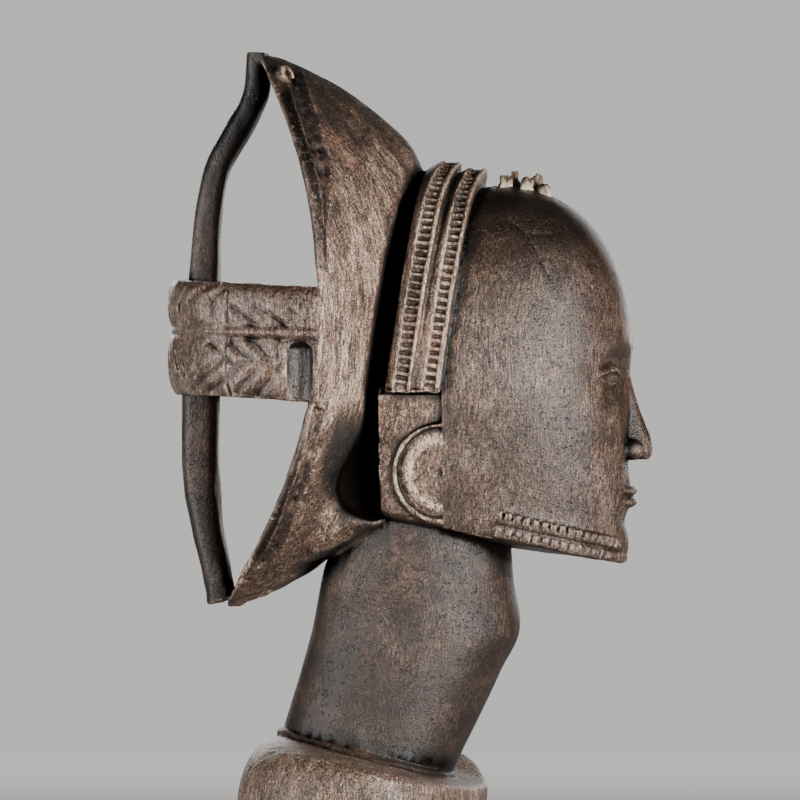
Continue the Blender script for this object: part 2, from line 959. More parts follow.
    def ears(self) -> Body:
        """Outer ridges of both ears, each round a low plate."""
        plate, ridge = self.curl(11.2, 10.7, 1.4, 0.4), self.curl(23.0, 1.4, 3.5, 0.8, 0.8)
        return Body.together([plate, ridge]).both_sides()

    def crescents(self) -> Body:
        """Inner ridges of both ears."""
        return self.curl(16.4, 2.9, 2.1, 0.6, -0.4).both_sides()


@dataclass
class Beard:
    """Band of two rows of blocks along the jaw."""

    head: Head
    height: float = 13.5
    rise: float = 2.5
    groove_depth: float = 1.6
    groove: float = 1.2
    back: float = 61
    pitch: float = 4.7
    cut_width: float = 1.5
    cut_height: float = 3.8

    def above(self, x: np.ndarray, lift: np.ndarray) -> np.ndarray:
        """Height of a place on the band, which narrows towards the chin."""
        return self.head.jaw_height(x) + lift * (1.1 - 0.14 * np.clip((x - self.back) / 60, 0, 1))

    def edge(self, turn: np.ndarray, out: np.ndarray, lift: np.ndarray) -> tuple:
        """Place round the jaw, moved outwards and lifted above its edge.

        Args:
            turn: Turn from the chin.
            out: Distance outside the cheek.
            lift: Height above the jaw's edge.

        Returns:
            The places' X and Y.
        """
        head = self.head
        x = head.centre + signed_power(np.cos(turn), head.power) * (head.reach(0.0) + 1 + out)
        width = head.cheek(head.jaw_height(x) + lift) + out
        return x, signed_power(np.sin(turn), head.power) * width

    @property
    def end(self) -> float:
        """Turn from the chin to the band's rear end."""
        head = self.head
        return math.acos(((self.back - head.centre) / (head.reach(0.0) + 1)) ** (1 / head.power))

    def row(self, low: float, high: float, out: float) -> Body:
        """One band between two heights above the jaw's edge.

        Args:
            low: Its lower edge.
            high: Its upper edge.
            out: How far it stands out.

        Returns:
            The closed body.
        """

        def ring(t: np.ndarray, angle: np.ndarray) -> tuple:
            """Places at shares t of the length and angles round it."""
            outer = signed_power(np.cos(angle), 0.55)
            lift = (low + high) / 2 + (high - low) / 2 * signed_power(np.sin(angle), 0.55)
            x, y = self.edge(lerp(-self.end, self.end, t), out - 8 * (1 - outer) / 2, lift)
            return x, y, self.above(x, lift)

        return Body.loft(ring, 24, 200)

    def cuts(self, low: float, high: float, seed: int) -> Body:
        """Upright cuts between the blocks of a row.

        Args:
            low: The row's lower edge.
            high: Its upper edge.
            seed: Chooses their unevenness.

        Returns:
            The blades that cut them.
        """
        x, y = self.edge(np.linspace(-self.end, self.end, 400), self.rise + 0.3, (low + high) / 2)
        path = np.stack([x, y, self.above(x, (low + high) / 2)], -1)
        along = np.gradient(path, axis=0)
        outward = np.stack([along[:, 1], -along[:, 0], 0 * x], -1)
        outward /= np.linalg.norm(outward, axis=1)[:, None]
        sizes = (self.pitch, self.cut_width, self.cut_height, high - low + 1.6)
        return MarkRow(path, outward, *sizes, MarkShape.BLADE, seed=seed).body()

    def body(self) -> Body:
        """The whole band.

        Returns:
            The closed body.
        """
        foot = 0.6
        below, above = (self.height - self.groove) / 2, (self.height + self.groove) / 2
        parts = [self.row(foot, self.height, self.rise - self.groove_depth)]
        for seed, span in enumerate(((foot, below), (above, self.height))):
            parts.append(self.row(*span, self.rise).less(self.cuts(*span, seed)))
        return Body.together(parts)


@dataclass
class Diadem:
    """Double ladder over the crown."""

    head: Head
    bottom: float = 244
    floor_crown: float = 353.2
    tip_height: float = 339
    tip_lean: float = 3
    ridge_rise: float = 4
    floor_rise: float = 0.9
    rung_rise: float = 2.9
    pitch: float = 4.1
    rung_width: float = 1.15
    bands: list = field(default_factory=lambda: [(7.8, 13.2, 358.3), (22.6, 12.6, 355)])

    def tip(self, z: np.ndarray) -> np.ndarray:
        """How much further forward the ridges bend near the crown."""
        return self.tip_lean * np.clip((z - self.tip_height) / 19, 0, 1) ** 1.5

    def band(self, rear: float, width: float, crown: float, seed: int) -> Body:
        """One band: a sloping rear side, and a ladder of rungs between two ridges.

        Args:
            rear: Depth of its rear edge.
            width: Its width.
            crown: Height of its top.
            seed: Chooses its unevenness.

        Returns:
            The closed body.
        """
        top = self.ridge_rise
        low = self.floor_rise
        ladder = (4.9, width - 2.3)
        profile = np.array([
            (0, -7), (0.1, low), (1.6, 0.5 * top), (3.3, 0.88 * top), (4.0, top),
            (ladder[0] - 0.3, 0.95 * top), (ladder[0] + 0.1, low), (ladder[1] - 0.1, low),
            (ladder[1] + 0.3, 0.95 * top), (width - 1, top), (width - 0.3, 0.85 * top),
            (width, low), (width, -7),
        ])
        fraction = np.linspace(0, 1, 300)[:, None]
        rounded = crown + 1.2 - 4.8 * (profile[:, 0] / width - 0.5) ** 2
        y, z = self.head.arch(fraction, profile[:, 1], self.bottom, rounded - top + profile[:, 1])
        x = rear + profile[:, 0] + self.tip(z) * smoothstep(profile[:, 0], 0, 3.5)
        rails = Body.of_rings(np.stack([x, y, z], -1)).leaning(self.head)
        y, z = self.head.arch(np.linspace(0, 1, 600), low, self.bottom + 1, crown + 1.1 - top + low)
        x = rear + sum(ladder) / 2 + self.head.lean_at(z) + self.tip(z)
        path = np.stack([x, y, z], -1)
        along = np.gradient(path, axis=0)
        outward = np.stack([0 * x, -along[:, 2], along[:, 1]], -1)
        outward /= np.linalg.norm(outward, axis=1)[:, None]
        sizes = (self.pitch, self.rung_width, self.rung_rise - low, ladder[1] - ladder[0] + 1)
        rungs = MarkRow(path, outward, *sizes, MarkShape.ROUND, 0.0, 0.1, seed)
        return Body.together([rails, rungs.body()])

    def body(self) -> Body:
        """Both bands."""
        return Body.together([self.band(*band, seed) for seed, band in enumerate(self.bands)])


@dataclass
class Headdress:
    """Bonnet, upright strap and double braid of the open basket headdress."""

    head: Head
    middle: float = 275
    waist_half_width: float = 43
    recess: list = field(default_factory=lambda: [
        (27, 362), (15, 343), (10, 320), (6.5, 302), (3, 282), (0.5, 262), (-2, 246), (-4, 226), (-9, 215),
        (-16, 203), (-18, 193), (-11, 185), (2, 180), (4, 182), (4, 245), (8, 246), (24, 352),
    ])
    spine: list = field(default_factory=lambda: [
        (-61.5, 414.2, 5), (-61.2, 404, 5.8), (-62, 393, 6.1), (-71.5, 374.7, 6.3), (-80.7, 358, 6),
        (-86.3, 332, 6.8), (-88.2, 302, 7.9), (-89.8, 240, 9.1), (-90.4, 215, 9.1), (-89.2, 194, 8.9),
        (-86, 172, 7.9), (-82.5, 157, 7.4), (-79.3, 139.5, 7),
    ])
    strap_half_width: float = 12
    braid_middle: float = 269
    braid_half_height: float = 28
    braid_thickness: float = 6.2
    braid_front: float = -18
    braid_back: float = -99.5
    braid_half_width: float = 84
    braid_squareness: float = 2.6
    stroke_pitch: float = 7.6
    stroke_width: float = 3.4
    stroke_height: float = 2.7

    def waist(self, start: float, end: float) -> Body:
        """Core that joins the head to the bonnet."""
        return self.head.arch_plate(self.waist_half_width - self.head.half_width, 150, 354.5, start, end)

    def wall(self, station: np.ndarray, angle: np.ndarray) -> np.ndarray:
        """Place on the bonnet's wall.

        Args:
            station: 0 at the waist outside, 6 on the rim and 10 deep in the hollow.
            angle: Turn round the opening, upwards at a quarter.

        Returns:
            The places, with a last axis of 3.
        """
        shape = Stations(
            (0, 20, 26, 6, 340, 205, 40),
            (1, 12, 20, -2, 358, 186, 53),
            (2, 3, 12, -8, 371, 178, 63),
            (3, -6.5, -12, -32, 391, 156.3, 74.5),
            (4, -13.5, -33, -53, 403.6, 144.2, 82.5),
            (5, -18, -50, -67, 411, 138.5, 88),
            (6, -21, -59.5, -76, 412.5, 136.5, 90),
            (7, -22.8, -57.5, -74, 408, 142, 86.5),
            (8, -17, -46, -60, 398, 153, 79),
            (9, -10, -26, -40, 380, 172, 66),
            (10, -8, -10, -18, 345, 205, 44),
        )
        side, upper, lower, high, low, half_width = shape(station)
        up = np.sin(angle)
        above = up > 0
        tip = np.where(above, upper, lower)
        power = np.where(above, 2.4, 1.8)
        reach = np.where(above, high - self.middle, self.middle - low)
        x = lerp(side, tip, np.abs(up) ** power)
        return np.stack([x, half_width * signed_power(np.cos(angle), 1.2), self.middle + up * reach], -1)

    def bonnet(self) -> Body:
        """Widening bonnet with a rounded rim, with the recess behind the diadem cut out.

        Returns:
            The closed body.
        """

        def ring(t: np.ndarray, angle: np.ndarray) -> tuple:
            """Places at shares t of the length and angles round it."""
            place = self.wall(10 * t, angle)
            return tuple(np.moveaxis(place, -1, 0))

        bonnet_side = np.array(self.recess[:13], float)
        length = np.concatenate([[0], np.cumsum(np.linalg.norm(np.diff(bonnet_side, axis=0), axis=1))])
        curve = Stations(*np.column_stack([length, bonnet_side]))
        outline = [*zip(*curve(np.linspace(0, length[-1], 70)).tolist()), *self.recess[13:]]
        hollow = Body.slab(outline).less(self.waist(-45, 40))
        knob = self.head.ball((-45.6, 27, 399.5), (5, 6, 7)).both_sides()
        return Body.together([Body.loft(ring, 260, 200).less(hollow), self.skirt().less(hollow), knob])

    def skirt(self) -> Body:
        """Foot of the bonnet below the recess, which runs forward into the nape.

        Returns:
            The closed body.
        """
        shape = Stations(
            (-32, 176, 159, 38), (-20, 196, 163, 45), (-8, 192, 170, 46), (2, 186, 174, 43), (7, 183, 177, 36)
        )

        def ring(t: np.ndarray, angle: np.ndarray) -> tuple:
            """Places at shares t of the length and angles round it."""
            x = lerp(-32, 7, t)
            top, bottom, half_width = shape(x)
            rise = (1 + signed_power(np.sin(angle), 0.8)) / 2
            return x, half_width * signed_power(np.cos(angle), 0.8), lerp(bottom, top, rise)

        return Body.loft(ring, 80, 60)

    def strap(self) -> Body:
        """Upright strap in the middle plane, with its blunt upper end.

        Returns:
            The closed body.
        """
        knots = np.array(self.spine, float)
        length = np.concatenate([[0], np.cumsum(np.linalg.norm(np.diff(knots[:, :2], axis=0), axis=1))])
        curve = Stations(*np.column_stack([length / length[-1], knots]))

        def ring(t: np.ndarray, angle: np.ndarray) -> tuple:
            """Places at shares t of the length and angles round it."""
            x, z, half = curve(t)
            before, after = curve(np.clip(t - 0.01, 0, 1)), curve(np.clip(t + 0.01, 0, 1))
            along = (after - before)[:2]
            along = along / np.hypot(*along)
            out = half * signed_power(np.cos(angle), 0.7)
            side = self.strap_half_width * signed_power(np.sin(angle), 0.7)
            return x - along[1] * out, side, z + along[0] * out

        return Body.loft(ring, 60, 160)

    def braid_line(self, turn: np.ndarray) -> tuple:
        """Places on the braid's middle line round the back, with its directions along and outwards.

        Args:
            turn: Turn from the near rim over the back to the far one.

        Returns:
            The places, and their directions along and outwards.
        """
        power = 2 / self.braid_squareness

        def at(angle: np.ndarray) -> np.ndarray:
            """Places at turns round the back."""
            x = lerp(self.braid_front, self.braid_back, signed_power(np.sin(angle), power))
            y = -self.braid_half_width * signed_power(np.cos(angle), power)
            return np.stack([x, y, np.full_like(x, self.braid_middle)], -1)

        turn = np.asarray(turn, float)
        along = at(turn + 0.01) - at(turn - 0.01)
        along /= np.linalg.norm(along, axis=-1, keepdims=True)
        return at(turn), along, np.stack([-along[..., 1], along[..., 0], 0 * turn], -1)

    def strokes(self, share: float, tilt: float, seed: int) -> Body:
        """One row of slanting cuts across the back of the braid.

        Args:
            share: Height of the row, as a share of the braid's half height.
            tilt: How far the cuts slant.
            seed: Chooses their unevenness.

        Returns:
            The blades that cut them.
        """
        point, _, outward = self.braid_line(np.linspace(1.0, 1.54, 80))
        path = point + outward * (self.braid_thickness + 0.4)
        path[:, 2] += share * self.braid_half_height
        sizes = (self.stroke_pitch, self.stroke_width, self.stroke_height, 0.62 * self.braid_half_height)
        return MarkRow(path, outward, *sizes, MarkShape.BLADE, tilt, 0.14, seed).body().both_sides()

    def braid(self) -> Body:
        """Double braid that runs round the back from rim to rim, with a hollow at each end.

        Returns:
            The closed body.
        """

        def ring(t: np.ndarray, angle: np.ndarray) -> tuple:
            """Places at shares t of the length and angles round it."""
            turn = lerp(0.02, np.pi - 0.02, t)
            point, _, out = self.braid_line(turn)
            near_rim = smoothstep(np.abs(np.cos(turn)), 0.7, 0.99)
            height = self.braid_half_height * np.sin(angle)
            ridge = 3.05 + 0.0326 * (point[..., 0] + 99)
            away = height - ridge
            lobe = (self.braid_half_height - np.sign(away) * ridge) / 2
            round_ = np.sqrt(np.maximum(0, 1 - ((np.abs(away) - lobe) / lobe) ** 2)) ** 0.8
            cord = (0.7 + 0.36 * near_rim) * np.sqrt(np.maximum(0, 1 - (away / (2 + 1.8 * near_rim)) ** 2))
            reach = np.where(np.cos(angle) > 0, np.maximum(np.maximum(0.45, cord), round_), -np.sqrt(round_))
            place = point + out * (self.braid_thickness * reach)[..., None]
            droop = 0.055 * (place[..., 0] + 66)
            return place[..., 0], place[..., 1], self.braid_middle + 0.6 - droop + 1.01 * height

        body = Body.loft(ring, 140, 160)
        for seed, (share, tilt) in enumerate(((0.75, -1), (0.25, 1), (-0.25, 1), (-0.75, -1))):
            body = body.less(self.strokes(share, 0.62 * tilt, seed + 5))
        point, _, outward = self.braid_line(np.array(0.098))
        axis = point + outward * (self.braid_thickness + 1.4)
        height = np.linspace(235, 270, 24)
        radius = 7 * np.sqrt(np.clip((270.5 - height) / 5, 0.02, 1))
        hollow = Body.tube(np.array([[*axis[:2], z] for z in height]), radius, 32)
        return body.less(hollow.both_sides())


@dataclass
class Stand:
    """Neck and shoulders, cut flat below."""

    base: float = 40
    top: float = 196
    torso_top: float = 66
    torso_slope: float = 0.262
    torso_level: float = -20

    def neck_at(self, height: np.ndarray, angle: np.ndarray) -> tuple:
        """Place on the neck's surface.

        Args:
            height: Its height before the nape sinks.
            angle: Its turn round the neck.

        Returns:
            X, Y and Z.
        """
        shape = Stations(
            (self.base, -57, 30, 42),
            (73, -49, 45, 42),
            (108, -38.5, 62, 43),
            (124, -34, 69.5, 43),
            (150, -29, 66.5, 41),
            (self.top, -16, 64, 38),
        )
        back, front, half_width = shape(height)
        x = lerp(back, front, (1 + signed_power(np.cos(angle), 0.85)) / 2)
        nape = 14 * smoothstep(height, 150, self.top) * smoothstep(30 - x, 0, 60)
        return x, half_width * signed_power(np.sin(angle), 0.85), height - nape

    def neck(self) -> Body:
        """Tall neck that leans forward, with a blunt throat."""
        return Body.loft(lambda t, angle: self.neck_at(lerp(self.base, self.top, t), angle), 180, 90)

    def torso(self) -> Body:
        """Shoulders and the start of the trunk.

        Returns:
            The closed body.
        """
        shape = Stations(
            (0, -72, 50, 113),
            (0.3, -70, 51, 116.5),
            (0.55, -66, 52, 116.5),
            (0.75, -57, 51, 113),
            (0.88, -49.5, 48.5, 103),
            (0.96, -45, 45, 85),
            (1, -41, 41, 60),
        )

        def ring(t: np.ndarray, angle: np.ndarray) -> tuple:
            """Places at shares t of the length and angles round it."""
            back, front, half_width = shape(t)
            x = lerp(back, front, (1 + signed_power(np.cos(angle), 0.8)) / 2)
            y = half_width * signed_power(np.sin(angle), 0.8)
            chest = smoothstep(t, 0.2, 1) * (1 - 0.75 * smoothstep(y, 40, 95))
            z = self.torso_top * np.sin(t * np.pi / 2) ** 0.9
            return x, y, z - self.torso_slope * (x - self.torso_level) * chest

        return Body.loft(ring, 220, 110)

    def lip(self) -> Body:
        """Worn lip where the neck meets the shoulders.

        Returns:
            The closed body.
        """
        angle = np.arange(160) * 2 * np.pi / 160
        height = np.full(160, self.torso_top)
        for _ in range(6):
            x, y, _ = self.neck_at(height, angle)
            height = self.torso_top - self.torso_slope * (x - self.torso_level)
        path = np.stack([x, y, height + 0.3], -1)
        return Body.tube(path, 2.8, 14, endless=True)


# The worn surface


@dataclass(frozen=True)
class Cut:
    """V-shaped cut of a knife, or a crack, on the sides of the carving.

    The line's places lie across and up in the side view, which is turned five degrees towards the face.
    """

    width: float
    depth: float
    line: tuple
    floor: float = 0.0


BRAID_CUTS = (
    Cut(2.3, 0.7, ((-99, 297), (-102.5, 292), (-103, 286), (-101.5, 281.5), (-97, 276.5))),
    Cut(2.7, 0.8, ((-100, 287), (-96, 280.5), (-90, 276))),
    Cut(2.7, 0.8, ((-96, 284), (-94, 290), (-88, 294.5), (-84.5, 296.5))),
    Cut(3.0, 1.1, ((-81, 292.5), (-76, 296))),
    Cut(1.4, 0.5, ((-95, 283), (-93, 278.5), (-85, 275.5))),
    Cut(3.9, 1.6, ((-74.5, 286), (-68, 280.5), (-61, 274.5))),
    Cut(3.9, 1.4, ((-61, 285.5), (-55.5, 282), (-47.5, 276.5))),
    Cut(2.7, 0.6, ((-45, 285), (-35, 278.5))),
    Cut(2.9, 1.0, ((-103, 270.5), (-101, 263), (-100, 255))),
    Cut(2.9, 1.0, ((-99, 269.5), (-95.5, 261.5), (-91.5, 257))),
    Cut(2.9, 0.9, ((-93, 270), (-91, 266), (-89, 264))),
    Cut(3.0, 1.3, ((-84.5, 268.5), (-78.5, 262), (-71.5, 256))),
    Cut(3.6, 1.5, ((-74.5, 269.5), (-70.5, 265), (-64, 260))),
    Cut(4.5, 1.7, ((-64.5, 270.5), (-60, 267), (-56, 262))),
    Cut(3.0, 1.3, ((-56, 262), (-49.5, 270))),
    Cut(2.9, 1.0, ((-101.5, 246.5), (-101, 252.5), (-99.5, 254))),
    Cut(2.9, 0.9, ((-104.5, 253.5), (-103.5, 259), (-102.5, 263))),
    Cut(2.9, 0.8, ((-96.5, 247), (-93.5, 252.5), (-91, 256))),
    Cut(3.9, 1.6, ((-92.5, 245), (-88, 252.5), (-78.5, 260.5))),
    Cut(3.9, 1.6, ((-83, 245), (-76.5, 251), (-72, 256), (-65.5, 259.5))),
    Cut(3.4, 1.4, ((-71, 243.5), (-67, 249), (-62.5, 253.5))),
    Cut(3.9, 1.5, ((-60.5, 242), (-54.5, 250.5), (-49, 258), (-50.5, 262))),
    Cut(1.3, 1.2, ((-75, 295), (-76, 288), (-76, 278.5), (-75, 274), (-76.5, 268), (-77, 263), (-76.5, 255),
                   (-75.5, 247), (-73.5, 241.5))),
)
CRUSTED_CUTS = (
    Cut(5.6, 2.4, ((-43.8, 404), (-41.3, 399.5), (-38.8, 389.5), (-34.8, 379), (-32.6, 370.6), (-30, 363.3),
                   (-28.1, 356), (-26, 347.3), (-24.2, 338.6), (-23.8, 331.3), (-23.1, 324.8)), 0.4),
    Cut(4.0, 1.5, ((-23.1, 324.8), (-23.8, 319.7), (-23.8, 309.5), (-24.6, 300)), 0.3),
    Cut(4.6, 2.0, ((-30.3, 234), (-32.8, 220), (-35.3, 211), (-38.3, 201), (-41.8, 192), (-45.8, 180),
                   (-49.8, 171), (-53.8, 164), (-57.8, 159.5)), 0.4),
    Cut(4.6, 1.5, ((-85.2, 289), (-84.4, 283))),
)
RIM_LIPS = (
    Cut(9.0, 1.3, ((-44.5, 389.5), (-37.5, 367.5), (-32, 347.5), (-29, 331.5), (-28.3, 309.5))),
    Cut(7.5, 1.2, ((-33.5, 231), (-38, 211), (-44, 194), (-51, 177), (-59, 162))),
)
OTHER_CUTS = (
    Cut(2.6, 2.0, ((-0.5, 244.6), (28.5, 244.4))),
    Cut(1.3, 0.7, ((-73, 146), (-72, 150), (-69, 152), (-64, 150))),
    Cut(1.2, 0.45, ((57.5, 331), (66.5, 327), (72, 322.5), (75.5, 317), (79, 309), (83.5, 301.5))),
    Cut(1.2, 0.4, ((72, 322.5), (84.5, 322))),
)


class Skin:
    """Dense surface of the joined carving, which takes relief and wear.

    Args:
        body: Uniform, closed mesh.
    """

    def __init__(self, body: Body) -> None:
        """Takes the mesh and finds which points are neighbours.

        Args:
            body: The mesh.
        """
        self.points = body.points
        self.triangles = body.triangles
        self.crust = self.rubbed = np.zeros(len(body.points))
        pairs = np.vstack([body.triangles[:, [0, 1]], body.triangles[:, [1, 2]], body.triangles[:, [2, 0]]])
        self.starts, self.ends = pairs[:, 0], pairs[:, 1]
        self.neighbours = np.bincount(self.starts, minlength=len(self.points))

    def average(self, values: np.ndarray) -> np.ndarray:
        """Mean of each point's neighbours.

        Args:
            values: One number or one place for each point.

        Returns:
            The means, in the same shape.
        """
        if values.ndim == 1:
            return np.bincount(self.starts, values[self.ends], len(self.points)) / self.neighbours
        return np.stack([self.average(values[:, k]) for k in range(values.shape[1])], -1)

    def smoothed(self, values: np.ndarray, rounds: int, share: float = 0.6) -> np.ndarray:
        """Values that flow into their neighbours for some rounds.

        Args:
            values: One number or one place for each point.
            rounds: How often they flow.
            share: How much flows each time.

        Returns:
            The smoothed values.
        """
        for _ in range(rounds):
            values = values + share * (self.average(values) - values)
        return values

    def normals(self) -> np.ndarray:
        """Outward direction at each point.

        Returns:
            Unit vectors, n by 3.
        """
        a, b, c = (self.points[self.triangles[:, k]] for k in range(3))
        face = np.cross(b - a, c - a)
        total = np.stack([
            sum(np.bincount(self.triangles[:, k], face[:, axis], len(self.points)) for k in range(3))
            for axis in range(3)
        ], -1)
        return total / np.maximum(1e-9, np.linalg.norm(total, axis=1))[:, None]

    def soften(self, rounds: int) -> None:
        """Rounds every edge a little, without shrinking the whole.

        Args:
            rounds: How often it rounds them.
        """
        for _ in range(rounds):
            self.points = self.smoothed(self.points, 1, 0.55)
            self.points = self.smoothed(self.points, 1, -0.4)

    def standing_out(self, rounds: int) -> np.ndarray:
        """How far each point stands out of its smoothed surroundings, where hollows are negative."""
        away = self.points - self.smoothed(self.points, rounds)
        return np.einsum("ij,ij->i", away, self.normals())

    def push(self, distance: np.ndarray) -> None:
        """Moves points along their outward directions."""
        self.points = self.points + self.normals() * distance[:, None]

    def round_off(self, share: np.ndarray, rounds: int) -> None:
        """Smooths the places where the share is above 0.

        Args:
            share: How much each point moves towards its neighbours.
            rounds: How often it moves.
        """
        here = share[self.starts] > 0
        starts, ends = self.starts[here], self.ends[here]
        near, index = np.unique(starts, return_inverse=True)
        count = np.bincount(index)
        for _ in range(rounds):
            mean = np.stack([np.bincount(index, self.points[ends, k]) / count for k in range(3)], -1)
            self.points[near] += share[near, None] * (mean - self.points[near])

    def across(self) -> np.ndarray:
        """Where each point lies across the side view, which is turned five degrees towards the face."""
        return np.cos(VIEW_TURN) * self.points[:, 0] - np.sin(VIEW_TURN) * np.abs(self.points[:, 1])

    def keep_within(self, low: np.ndarray, high: np.ndarray, margin: float = 3.0, foot: float = 0.6) -> None:
        """Presses what nears the sides of a box back inside it, and flattens the underside.

        Args:
            low: The box's lowest corner.
            high: Its highest corner.
            margin: Distance from its sides where the pressing starts.
            foot: Height up to which a point belongs to the flat underside.
        """
        points = self.points
        for axis in range(3):
            over = points[:, axis] - (high[axis] - margin)
            points[:, axis] -= np.where(over > 0, over - margin * np.tanh(over / margin), 0)
            if axis < 2:
                under = low[axis] + margin - points[:, axis]
                points[:, axis] += np.where(under > 0, under - margin * np.tanh(under / margin), 0)
        points[:, 2] = np.where(points[:, 2] < foot, 0, points[:, 2])

    def depth_of(self, cuts: tuple[Cut, ...], near: np.ndarray) -> np.ndarray:
        """How deep cuts go at each point.

        Args:
            cuts: The cuts.
            near: Share of the cuts that each point takes.

        Returns:
            The depth at each point.
        """
        depth = np.zeros(len(self.points))
        chosen = np.flatnonzero(near > 0)
        place = np.stack([self.across()[chosen], self.points[chosen, 2]], -1)
        deepest = np.zeros(len(chosen))
        for cut in cuts:
            for start, end in itertools.pairwise(np.array(cut.line, float)):
                way = end - start
                share = np.clip((place - start) @ way / (way @ way), 0, 1)
                away = np.linalg.norm(place - start - share[:, None] * way, axis=1)
                share = np.clip((1 - 1.25 * away / cut.width) / (1 - cut.floor), 0, 1)
                deepest = np.maximum(deepest, cut.depth * share)
        depth[chosen] = deepest * near[chosen]
        return depth


@dataclass
class Soot:
    """Dark deposit on the carving: how strong it is in each place where it gathers."""

    tops: float = 1.0
    undersides: float = 0.8
    bonnet_top: float = 0.8
    bonnet_foot: float = 0.35
    recess: float = 1.9
    nape: float = 0.9
    braid_hollow: float = 1.1
    crust: float = 0.5

    def amount(self, skin: Skin) -> np.ndarray:
        """Soot at each point.

        Args:
            skin: The weathered carving.

        Returns:
            The amount, 0 where the wood is clean.
        """
        x, y, z = skin.points.T
        side = np.abs(y)
        up = skin.smoothed(skin.normals(), 12)[:, 2]
        recess = smoothstep(1.3 - np.hypot((x + 7) / 15, (z - 204) / 26), 0, 0.5)
        nape = smoothstep(187 - z, 0, 4) * smoothstep(z, 160, 175)
        hollow = smoothstep(7.5 - np.abs(skin.across() + 38), 0, 3)
        bonnet_foot = smoothstep(212 - z, 0, 45) * smoothstep(-22 - x, 0, 6) * smoothstep(z, 126, 134)
        shares = (
            (self.tops, smoothstep(up, 0.05, 0.85) * smoothstep(z, 80, 110)),
            (self.undersides, smoothstep(-up, 0.15, 0.7)),
            (self.bonnet_top, smoothstep(z, 322, 390) * smoothstep(30 - x, 0, 12)),
            (self.bonnet_foot, bonnet_foot),
            (self.recess, recess * (side > 30) * (x < 0)),
            (self.nape, nape * (x > -2) * (x < 9) * (side > 34)),
            (self.braid_hollow, hollow * (z < 270) * (z > 238) * (side > 60)),
            (self.crust, skin.crust),
        )
        return sum(strength * share for strength, share in shares)


class Zone(Enum):
    """Parts of the carving with a look of their own: its paleness, its darkness and its polish."""

    FACE = (0.08, 0.15, 0.8)
    DIADEM = (0.4, -0.5, 0.3)
    EAR = (0.36, 0.0, 0.3)
    CRESCENT = (2.2, 0.0, 0.3)
    BONNET = (0.82, 0.0, 0.25)
    STRAP = (0.1, 0.6, 0.7)
    BRAID = (0.4, 0.15, 1.0)
    NECK = (0.1, 0.5, 0.55)
    TORSO = (0.45, 0.1, 0.6)
    CORE = (0.0, 2.0, 0.0)


